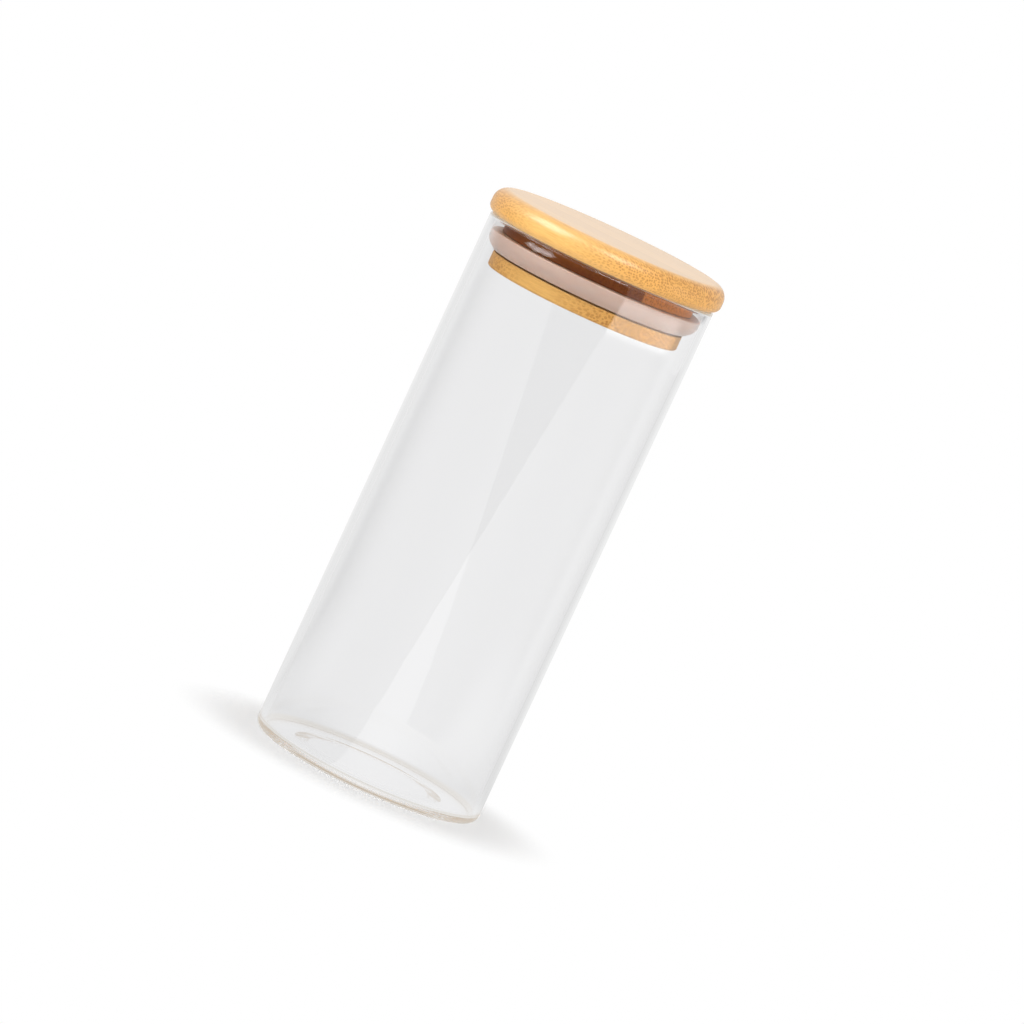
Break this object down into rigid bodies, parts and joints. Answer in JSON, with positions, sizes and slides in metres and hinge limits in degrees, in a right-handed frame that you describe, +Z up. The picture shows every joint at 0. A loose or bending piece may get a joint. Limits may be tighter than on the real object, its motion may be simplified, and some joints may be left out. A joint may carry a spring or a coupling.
{
  "type": "lidded glass canister",
  "caption": "Straight clear glass storage canister with a push-in lid of glued bamboo strips, sealed by a silicone ring in the plug's groove. The lid lifts out and turns.",
  "frame": {"origin": "centre of the jar's base, on the surface that it stands on", "axes": "+Z up along the jar's axis, +X along the lid's bamboo strips"},
  "size_m": [0.088, 0.088, 0.2073],
  "materials": {
    "clear_glass": "clear, fire-polished",
    "silicone": "translucent, satin",
    "bamboo": "sanded, clear satin lacquer"
  },
  "bodies": {
    "jar": {"glass_jar": "clear_glass"},
    "seal": {"seal_ring": "silicone"},
    "lid": {"top_ply_strip_1": "bamboo", "top_ply_strip_2": "bamboo", "top_ply_strip_3": "bamboo", "top_ply_strip_4": "bamboo", "top_ply_strip_5": "bamboo", "middle_ply_strip_1": "bamboo", "middle_ply_strip_2": "bamboo", "middle_ply_strip_3": "bamboo", "middle_ply_strip_4": "bamboo", "bottom_ply_strip_1": "bamboo", "bottom_ply_strip_2": "bamboo", "bottom_ply_strip_3": "bamboo", "bottom_ply_strip_4": "bamboo"}
  },
  "joints": [
    {"name": "lid_lift", "type": "slide", "parent": "jar", "child": "seal", "axis": [0, 0, 1], "range_m": [0, 0.1]},
    {"name": "lid_turn", "type": "hinge", "parent": "seal", "child": "lid", "pos_m": [0, 0, 0.198], "axis": [0, 0, 1], "continuous": true}
  ]
}
